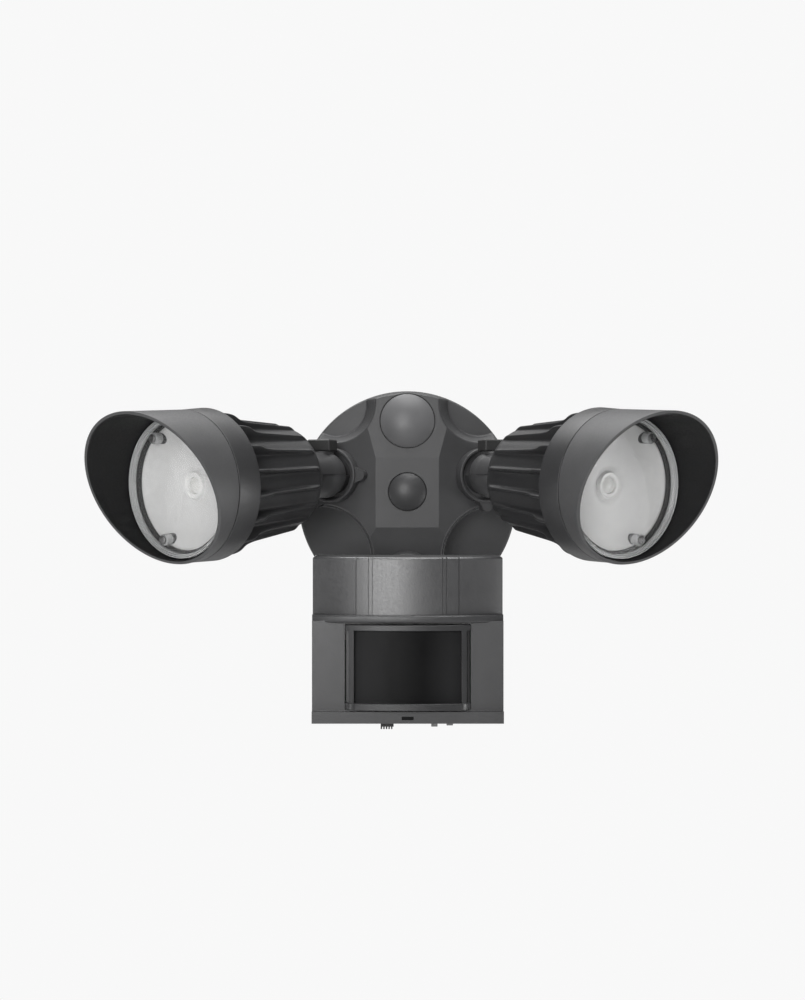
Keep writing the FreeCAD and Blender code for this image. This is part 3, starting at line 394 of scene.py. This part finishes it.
def seal(side):
    """Black rubber ring between reflector and lens, with fine ribs in its inner face."""
    ribs = [(98.3, 32.5), (98.3, 31.3), (98.9, 31.2), (99.2, 31.45), (99.5, 31.2),
            (99.8, 31.45), (100.1, 31.2), (100.75, 31.3), (100.75, 32.5)]
    piece(side + "_lens_seal_ring", side + "_head", BLACK_RUBBER_AND_GAP_SHADE,
          [turned(ribs, head(side), 128, 0.12)], (side + "_lens_seal",), 40)


def lens(side):
    """Clear cover: a thin pane, and a stepped rim and three bosses for its thick parts."""
    rim = [(100.8, 32.7), (100.8, 34.9), (103.3, 34.9), (104.0, 34.65), (104.0, 34.25),
           (102.9, 34.1), (102.9, 33.75), (103.6, 33.6), (103.6, 33.25), (102.4, 33.1),
           (102.4, 32.7)]
    boss = [(98.4, 1.35), (98.4, 2.9), (103.0, 2.9), (103.0, 1.35)]
    grids = [turned(rim, head(side), 160, 0.18)]
    grids += [turned(boss, spot, 40, 0.7) for spot in screw_spots(side)]
    piece(side + "_lens_rim", side + "_head", CLEAR, grids, (side + "_lens",), 40)
    sheet = [(101.3, 0.0), (101.3, 32.65), (102.4, 32.65), (102.4, 0.0)]
    pane = piece(side + "_lens_pane", side + "_head", PANE, [lathe(sheet, head(side), 128)])


def lens_screws(side):
    """Pan-head screws, each with a cross-shaped recess turned by half a radian.

    At radius r the head's top stands at 103.05 + 1.2 * sqrt(1 - 0.62 * (r / 2.1)^4), less 0.55 in
    the recess.
    """
    turn = np.linspace(0, 2 * np.pi, 64, endpoint=False) + 0.5
    r = np.linspace(2.1, 0, 22)[:, None]
    u, v = r * np.cos(turn), r * np.sin(turn)

    def slot_depth(p, q):
        """1 within a slot along q, falling to 0 at its sides and ends."""
        return np.clip((0.36 - np.abs(p)) / 0.14, 0, 1) * np.clip((1.35 - np.abs(q)) / 0.2, 0, 1)

    recess = 0.55 * np.maximum(slot_depth(u, v), slot_depth(v, u))
    top = 103.05 + 1.2 * np.sqrt(1 - 0.62 * (r / 2.1) ** 4) - recess
    shank = np.array([(91.05, 0.0), (91.05, 0.9), (91.6, 1.2), (103.0, 1.2), (103.02, 2.1),
                      (103.5, 2.1)])
    x, radius = shank[:, :1], shank[:, 1:]
    body = np.broadcast_arrays(x, radius * np.cos(turn), radius * np.sin(turn))
    grid = np.concatenate([np.stack(body, -1), np.stack([top, u, v], -1)])
    piece(side + "_lens_screw_set", side + "_head", DULL_ZINC,
          [(put(grid, spot), False, True) for spot in screw_spots(side)],
          (side + "_lens_screws",), 40)


def gap_shade_ring(name, place, inner, floor):
    """Black ring, 0.5 mm wide and 0.35 mm high, on the floor of the gap round a cover: painted
    shade that darkens the gap.
    """
    outer, top = inner + 0.5, floor + 0.35
    ring = [(floor, inner), (top, inner), (top, outer), (floor, outer)]
    made = piece(name, "canopy", BLACK_RUBBER_AND_GAP_SHADE, [turned(ring, place, 96, 0.08)])


# ---- Finishes ----
def new_finish(name):
    """A new material, its tree, its shader and its place input."""
    made = bpy.data.materials.new(name)
    made.use_nodes = True
    nodes = made.node_tree.nodes
    return made, made.node_tree, principled(made.node_tree), nodes.new("ShaderNodeTexCoord")


def principled(tree):
    """The tree's main shader."""
    return next(n for n in tree.nodes if n.type == "BSDF_PRINCIPLED")


def noise(tree, where, scale, detail=3.0, roughness=0.55):
    """Noise in the object's own space, from 0 to 1."""
    made = tree.nodes.new("ShaderNodeTexNoise")
    made.inputs["Scale"].default_value = scale
    made.inputs["Detail"].default_value = detail
    made.inputs["Roughness"].default_value = roughness
    tree.links.new(where.outputs["Object"], made.inputs["Vector"])
    return made.outputs["Fac"]


def place_along(tree, axis):
    """The place along X, Y or Z, in metres."""
    where = next(n for n in tree.nodes if n.type == "TEX_COORD")
    split = tree.nodes.new("ShaderNodeSeparateXYZ")
    tree.links.new(where.outputs["Object"], split.inputs[0])
    return split.outputs[axis]


def spread(tree, value, low, high, start=0.3, end=0.7):
    """Maps a value between start and end to a range."""
    made = tree.nodes.new("ShaderNodeMapRange")
    for key, v in (("From Min", start), ("From Max", end), ("To Min", low), ("To Max", high)):
        made.inputs[key].default_value = v
    tree.links.new(value, made.inputs["Value"])
    return made.outputs["Result"]


def tint(tree, value, dark, light):
    """Colour between two greys or colours by a value from 0 to 1."""
    made = tree.nodes.new("ShaderNodeMix")
    made.data_type = "RGBA"
    made.inputs["A"].default_value = (*dark, 1)
    made.inputs["B"].default_value = (*light, 1)
    tree.links.new(value, made.inputs["Factor"])
    return made.outputs["Result"]


def grain(tree, shader, value, strength, distance_mm):
    """Bump from a value."""
    made = tree.nodes.new("ShaderNodeBump")
    made.inputs["Strength"].default_value = strength
    made.inputs["Distance"].default_value = distance_mm * MM
    tree.links.new(value, made.inputs["Height"])
    tree.links.new(made.outputs["Normal"], shader.inputs["Normal"])


def coating(name, grey, roughness, grain_scale, grain_mm, specular=0.4):
    """Textured coat: fine pebble grain, slight cloudiness in colour and gloss."""
    mottle = 0.12
    made, tree, shader, where = new_finish(name)
    cloud = spread(tree, noise(tree, where, 38.0, 4.0), 0, 1)
    dark, light = [g * (1 - mottle) for g in grey], [g * (1 + mottle) for g in grey]
    shader.inputs["Specular IOR Level"].default_value = specular
    tree.links.new(tint(tree, cloud, dark, light), shader.inputs["Base Color"])
    pebble = noise(tree, where, grain_scale, 2.0, 0.6)
    gloss = spread(tree, pebble, roughness - 0.06, roughness + 0.06)
    tree.links.new(gloss, shader.inputs["Roughness"])
    grain(tree, shader, pebble, 0.6, grain_mm)
    return made


def case_plastic():
    """Sensor case: lighter and glossier above the ledge than on the flat panel below it, which has
    painted shade from the ledge: colour times 0.82, specular level 0.5 against 1.0.
    """
    made = coating("case_plastic", (0.044, 0.044, 0.0455), 0.36, 900.0, 0.03, 0.72)
    tree = made.node_tree
    shader = principled(tree)
    upper = spread(tree, place_along(tree, "Z"), 0.0, 1.0, -57.5 * MM, -56.5 * MM)
    tree.links.new(spread(tree, upper, 0.5, 1.0, 0, 1), shader.inputs["Specular IOR Level"])
    # Painted shade under the ledge: the base colour below it is multiplied by 0.82.
    painted_ledge_shade = tree.nodes.new("ShaderNodeMix")
    painted_ledge_shade.data_type = "RGBA"
    painted_ledge_shade.blend_type = "MULTIPLY"
    painted_ledge_shade.inputs["Factor"].default_value = 1.0
    tree.links.new(shader.inputs["Base Color"].links[0].from_socket, painted_ledge_shade.inputs["A"])
    tree.links.new(tint(tree, upper, (0.82, 0.82, 0.82), (1, 1, 1)), painted_ledge_shade.inputs["B"])
    tree.links.new(painted_ledge_shade.outputs["Result"], shader.inputs["Base Color"])
    return made


def lens_sheet():
    """Dark infrared lens: its sides, 8 to 22 mm from the middle, have a painted highlight, a
    lighter base colour in place of reflections of the side lamps.
    """
    made = moulded("dark_lens", (0.009, 0.009, 0.0095), 0.3, 150.0, 0.002, 0.07)
    tree = made.node_tree
    aside = tree.nodes.new("ShaderNodeMath")
    aside.operation = "ABSOLUTE"
    tree.links.new(place_along(tree, "X"), aside.inputs[0])
    side_highlight_paint = spread(tree, aside.outputs[0], 0, 1, 8 * MM, 22 * MM)
    # Painted highlight: base colour from 0.006 in the middle to 0.02 on the sides.
    shade = tint(tree, side_highlight_paint, (0.006, 0.006, 0.0062), (0.02, 0.02, 0.0206))
    tree.links.new(shade, principled(tree).inputs["Base Color"])
    return made


def plain_metal(name, colour, roughness):
    """Metal with fine irregular polishing marks."""
    made, tree, shader, where = new_finish(name)
    shader.inputs["Metallic"].default_value = 1.0
    marks = noise(tree, where, 900.0, 5.0, 0.7)
    shade = tint(tree, marks, [c * 0.82 for c in colour], colour)
    tree.links.new(shade, shader.inputs["Base Color"])
    tree.links.new(spread(tree, marks, roughness, roughness + 0.16), shader.inputs["Roughness"])
    grain(tree, shader, marks, 0.25, 0.02)
    return made


def moulded(name, colour, roughness, scale=420.0, grain_mm=0.02, specular=0.45):
    """Moulded plastic, rubber or lacquer with a faint grain."""
    made, tree, shader, where = new_finish(name)
    shader.inputs["Specular IOR Level"].default_value = specular
    fine = noise(tree, where, scale, 3.0)
    shade = tint(tree, spread(tree, fine, 0, 1), [c * 0.9 for c in colour], colour)
    tree.links.new(shade, shader.inputs["Base Color"])
    tree.links.new(spread(tree, fine, roughness, roughness + 0.1), shader.inputs["Roughness"])
    grain(tree, shader, fine, 0.35, grain_mm)
    return made


def clear_plastic(name, colour, roughness):
    """Clear moulded plastic with slight ripples."""
    made, tree, shader, where = new_finish(name)
    shader.inputs["Base Color"].default_value = (*colour, 1)
    shader.inputs["Roughness"].default_value = roughness
    shader.inputs["IOR"].default_value = 1.49
    shader.inputs["Transmission Weight"].default_value = 0.68
    grain(tree, shader, noise(tree, where, 60.0, 2.0), 0.1, 0.008)
    return made


def clear_sheet(name, alpha):
    """Thin clear pane: light passes straight through, and the rest is gloss."""
    made, tree, shader, where = new_finish(name)
    shader.inputs["Base Color"].default_value = (0.3, 0.3, 0.3, 1)
    shader.inputs["Roughness"].default_value = 0.04
    shader.inputs["Alpha"].default_value = alpha
    grain(tree, shader, noise(tree, where, 40.0, 2.0), 0.1, 0.02)
    return made


COAT = coating("powder_coat", (0.045, 0.045, 0.0463), 0.47, 1500.0, 0.035)
VISOR_COAT = coating("visor_coat", (0.06, 0.06, 0.0615), 0.48, 1100.0, 0.06)
# Painted shade for the inside of the visor hoods: their coat at a sixth of its grey.
VISOR_INSIDE_SHADE = coating("visor_inside_painted_shade", (0.01, 0.01, 0.0104), 0.6, 1100.0, 0.06, 0.25)
FIN_COAT = coating("casting_coat", (0.026, 0.026, 0.0271), 0.42, 1200.0, 0.05, 0.5)
CASE = case_plastic()
FRAME_PLASTIC = coating("frame_plastic", (0.034, 0.034, 0.035), 0.34, 900.0, 0.02, 0.4)
BLACK_RUBBER_AND_GAP_SHADE = moulded("black_rubber", (0.018, 0.018, 0.018), 0.6)
CAP_RUBBER = coating("cap_rubber", (0.045, 0.045, 0.0463), 0.42, 700.0, 0.02)
PLUG_COAT = coating("plug_coat", (0.11, 0.11, 0.1125), 0.4, 900.0, 0.02, 0.35)
DARK_LENS = lens_sheet()
BLACK_PLASTIC = moulded("black_plastic", (0.02, 0.02, 0.02), 0.5)
GREY_PLASTIC = moulded("grey_plastic", (0.2, 0.2, 0.2), 0.5)
PALE_PLASTIC = moulded("pale_plastic", (0.55, 0.55, 0.53), 0.4)
NYLON = moulded("nylon", (0.62, 0.61, 0.57), 0.45)
FOAM = moulded("foam", (0.1, 0.1, 0.1), 0.9, 900.0, 0.3)
POTTING = moulded("potting", (0.03, 0.03, 0.032), 0.35)
GREEN_BOARD = moulded("green_board", (0.02, 0.12, 0.05), 0.35)
GREEN_SCREW = moulded("green_screw", (0.03, 0.22, 0.07), 0.3)
REFLECTOR_WHITE = moulded("reflector_white", (0.745, 0.745, 0.74), 0.32, 260.0, 0.02)
LED_WHITE = moulded("led_white", (0.84, 0.84, 0.83), 0.25, 300.0, 0.01)
ZINC = plain_metal("zinc_plate", (0.62, 0.62, 0.6), 0.3)
MILLED = plain_metal("milled_aluminium", (0.75, 0.75, 0.76), 0.35)
DULL_ZINC = plain_metal("dull_zinc", (0.24, 0.24, 0.24), 0.42)
BLACK_STEEL = moulded("black_oxide", (0.03, 0.03, 0.03), 0.45, 800.0)
CLEAR = clear_plastic("clear_plastic", (0.9, 0.91, 0.91), 0.05)
PANE = clear_sheet("clear_pane", 0.07)
LED_DOME = moulded("led_silicone", (0.78, 0.78, 0.76), 0.12, 300.0, 0.005, 0.6)

# ---- CAD pieces kept in their own form: node, finish and edge rounding ----
for name, finish, bevel in (
        ("canopy_housing", COAT, 0.5),
        ("canopy_gasket", FOAM, 0.3),
        ("mounting_strap", ZINC, 0.2),
        ("centre_screw", ZINC, 0.2),
        ("ground_screw", GREEN_SCREW, 0.2),
        ("port_seals", BLACK_RUBBER_AND_GAP_SHADE, 0.1),
        ("sensor_stem", COAT, 0.2),
        ("sensor_ball_liner", NYLON, 0.1),
        ("sensor_clamp_plate", ZINC, 0.2),
        ("sensor_clamp_screws", ZINC, 0.1),
        ("sensor_back_cover", CASE, 0.4),
        ("sensor_front", CASE, 0.18),
        ("sensor_case_screws", BLACK_STEEL, 0.15),
        ("sensor_lens_frame", FRAME_PLASTIC, 0.3),
        ("sensor_lens", DARK_LENS, 0.1),
        ("sensor_main_board", GREEN_BOARD, 0.1),
        ("sensor_pyro_can", ZINC, 0.2),
        ("sensor_relay", PALE_PLASTIC, 0.3),
        ("sensor_photocell", PALE_PLASTIC, 0.2),
        ("sensor_control_board", GREEN_BOARD, 0.1),
        ("sensor_switch_body", PALE_PLASTIC, 0.2),
        ("sensor_trimmers", PALE_PLASTIC, 0.2),
        ("indicator_window", DARK_LENS, 0.1),
        ("time_switch", BLACK_PLASTIC, 0.1),
        ("range_dial", GREY_PLASTIC, 0.12),
        ("light_level_dial", GREY_PLASTIC, 0.12),
        ("centre_screw_cap", CAP_RUBBER, 0.2),
        ("port_plug", PLUG_COAT, 0.2),
        ("sensor_lock_ring", COAT, 0.3)):
    dressed(name, finish, bevel)
for side in SIDES:
    for name, finish, bevel in (
            ("lock_ring", COAT, 0.3),
            ("knuckle_stem", COAT, 0.3),
            ("pivot_screw", BLACK_STEEL, 0.3),
            ("knuckle_arm", COAT, 0.3),
            ("arm_nut", ZINC, 0.3),
            ("led_driver", POTTING, 0.4),
            ("led_carrier", MILLED, 0.2)):
        dressed(side + "_" + name, finish, bevel)
    for make in (heat_sink, visor, reflector, led, seal, lens, lens_screws):
        make(side)
# Painted shade in the gaps round the port plug and the centre cap.
gap_shade_ring("port_plug_gap_shade_ring", upper_port(), 14.35, -0.85)
gap_shade_ring("centre_cap_gap_shade_ring", cap_port(), 9.85, -1.55)


# ---- Stage and light ----
def stage_finish(name, grey):
    """Pale matte surface that the camera and clear pieces see at one even tone."""
    made, tree, shader, _ = new_finish(name)
    shader.inputs["Roughness"].default_value = 0.9
    shader.inputs["Base Color"].default_value = (grey, grey, grey, 1)
    path = tree.nodes.new("ShaderNodeLightPath")
    glow = tree.nodes.new("ShaderNodeEmission")
    glow.inputs["Color"].default_value = (0.94, 0.94, 0.94, 1)
    either = tree.nodes.new("ShaderNodeMath")
    either.operation = "MAXIMUM"
    tree.links.new(path.outputs["Is Camera Ray"], either.inputs[0])
    tree.links.new(path.outputs["Is Transmission Ray"], either.inputs[1])
    mix = tree.nodes.new("ShaderNodeMixShader")
    out = next(n for n in tree.nodes if n.type == "OUTPUT_MATERIAL")
    tree.links.new(either.outputs[0], mix.inputs[0])
    tree.links.new(shader.outputs[0], mix.inputs[1])
    tree.links.new(glow.outputs[0], mix.inputs[2])
    tree.links.new(mix.outputs[0], out.inputs["Surface"])
    return made


def backdrop():
    """Floor and wall in one sweep, in metres.

    Flat at z -0.6 to y 2, then a quarter circle of radius 1 up to a plain wall.
    """
    turn = np.linspace(0, np.pi / 2, 24)
    y = np.concatenate([[-5.0], 2 + np.sin(turn), [3.0]])
    z = np.concatenate([[0.0], 1 - np.cos(turn), [5.0]]) - 0.6
    x = np.linspace(-5, 5, 11)
    grid = np.stack(np.broadcast_arrays(x[None], y[:, None], z[:, None]), -1)
    faces = grid_faces(grid.shape[:2], False, False)
    mesh = bpy.data.meshes.new("backdrop")
    mesh.from_pydata(grid.reshape(-1, 3).tolist(), [], faces.tolist())
    mesh.shade_smooth()
    mesh.materials.append(stage_finish("pale_backdrop", 0.8))
    made = bpy.data.objects.new("backdrop", mesh)
    bpy.context.scene.collection.objects.link(made)


def lamp(name, place, width, height, watts):
    """Soft box: an area lamp that faces the middle of the light."""
    light = bpy.data.lights.new(name, "AREA")
    light.shape = "RECTANGLE"
    light.size, light.size_y, light.energy = width, height, watts
    made = bpy.data.objects.new(name, light)
    bpy.context.scene.collection.objects.link(made)
    made.location = place
    away = Vector(place) - Vector((0, -0.08, 0))
    made.rotation_euler = away.to_track_quat("Z", "Y").to_euler()


def surroundings(lit, seen):
    """White world: one strength lights the object, and the camera sees another."""
    world = bpy.data.worlds.new("studio")
    bpy.context.scene.world = world
    world.use_nodes = True
    tree = world.node_tree
    sky = tree.nodes["Background"]
    path = tree.nodes.new("ShaderNodeLightPath")
    strength = spread(tree, path.outputs["Is Camera Ray"], lit, seen, 0, 1)
    tree.links.new(strength, sky.inputs["Strength"])
    sky.inputs["Color"].default_value = (1, 1, 1, 1)


backdrop()
lamp("key", (-0.29, -1.34, 0.22), 0.6, 0.8, 12.5)
lamp("top", (-0.05, -0.12, 1.15), 1.5, 0.8, 22.5)
lamp("edge", (0.0, 0.75, 1.0), 1.8, 0.4, 5.0)
lamp("left_side", (-1.75, -0.45, -0.3), 0.6, 0.5, 4.0)
lamp("right_side", (1.75, -0.45, -0.3), 0.6, 0.5, 9.0)
surroundings(0.11, 0.94)
bpy.context.scene.view_settings.view_transform = "Standard"
